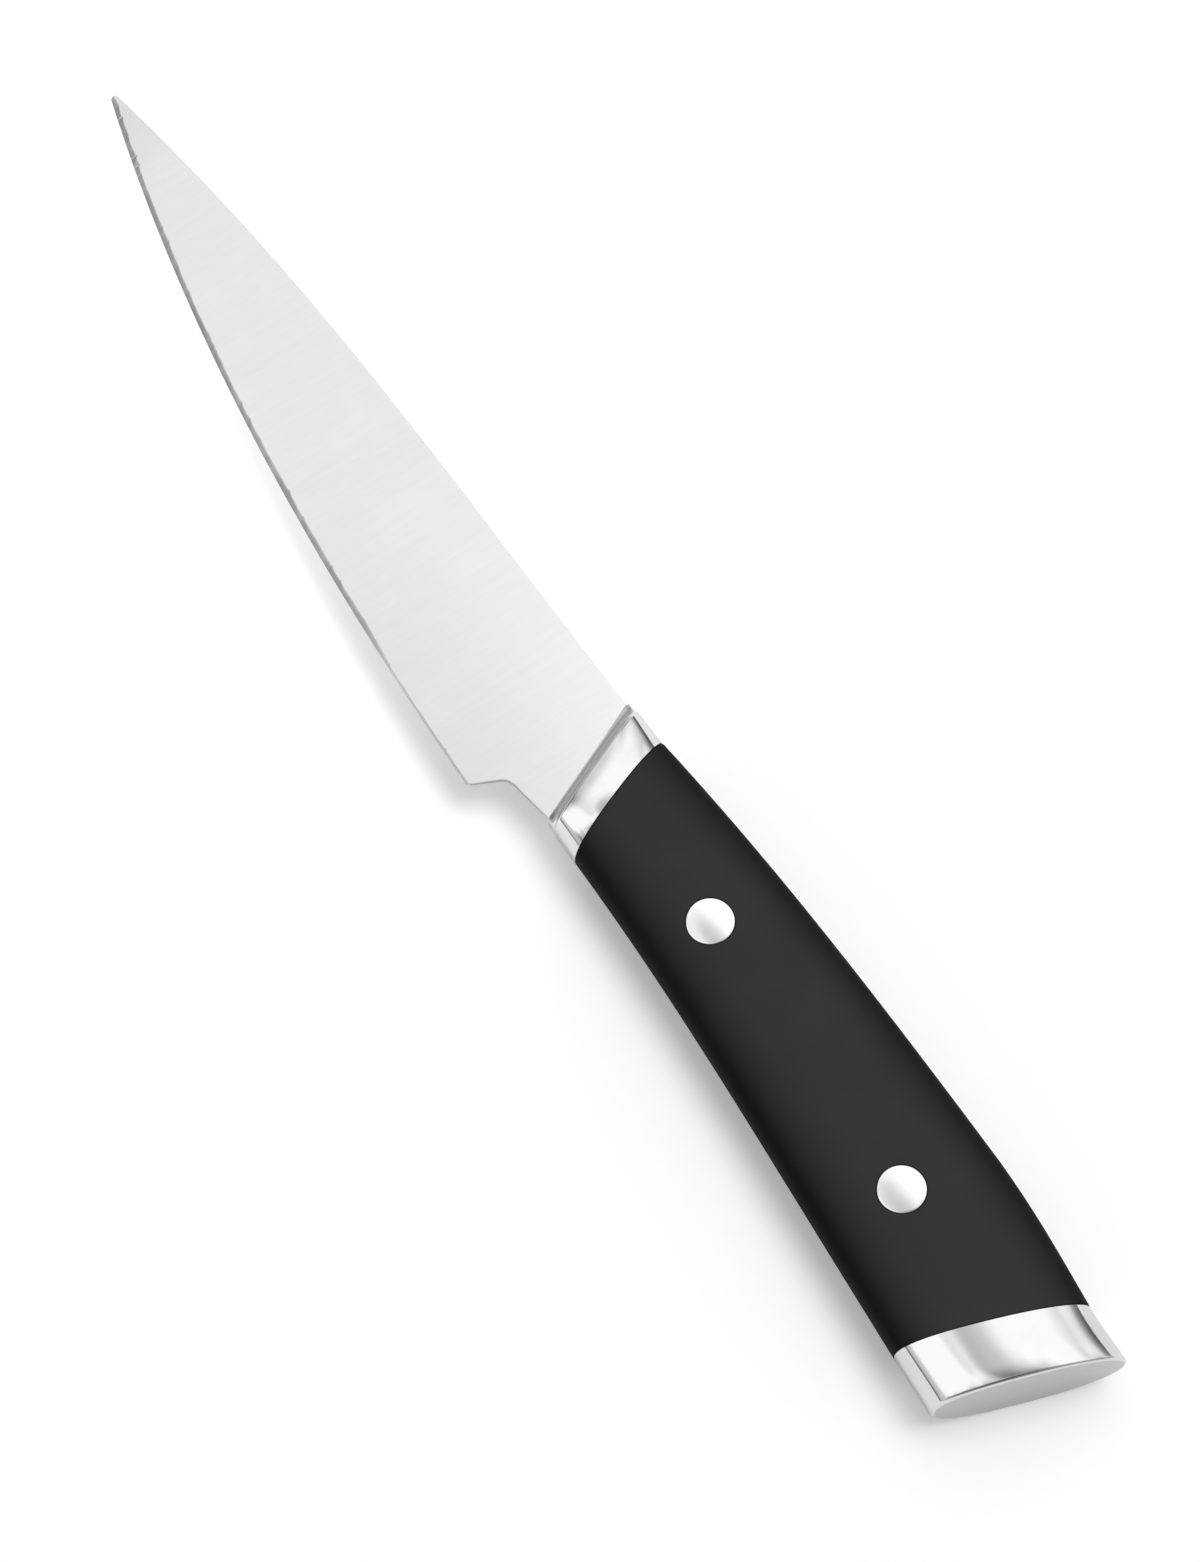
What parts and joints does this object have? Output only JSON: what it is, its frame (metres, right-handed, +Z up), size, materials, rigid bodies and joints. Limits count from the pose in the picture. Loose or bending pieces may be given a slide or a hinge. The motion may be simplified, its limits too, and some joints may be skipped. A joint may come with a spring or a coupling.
{
  "type": "steak knife",
  "caption": "Pointed table knife with a ground satin blade, a polished bolster, a riveted black grip and a polished end cap, for cutting cooked meat.",
  "frame": {"origin": "under the middle of the knife's box, on the level of its lowest point as it lies on its right side", "axes": "+X from the tip towards the butt, +Y from the cutting edge towards the spine, +Z up, out of the left side; the middle plane of the blade is level"},
  "size_m": [0.2372, 0.0302, 0.015],
  "materials": {
    "satin_steel": "satin",
    "polished_steel": "polished",
    "rivet_steel": "satin",
    "black_plastic": "satin"
  },
  "bodies": {
    "root": {"blade": "satin_steel", "bolster": "polished_steel", "left_scale": "black_plastic", "right_scale": "black_plastic", "front_rivet_pin": "rivet_steel", "front_rivet_sleeve": "rivet_steel", "rear_rivet_pin": "rivet_steel", "rear_rivet_sleeve": "rivet_steel", "end_cap": "polished_steel"}
  },
  "joints": []
}
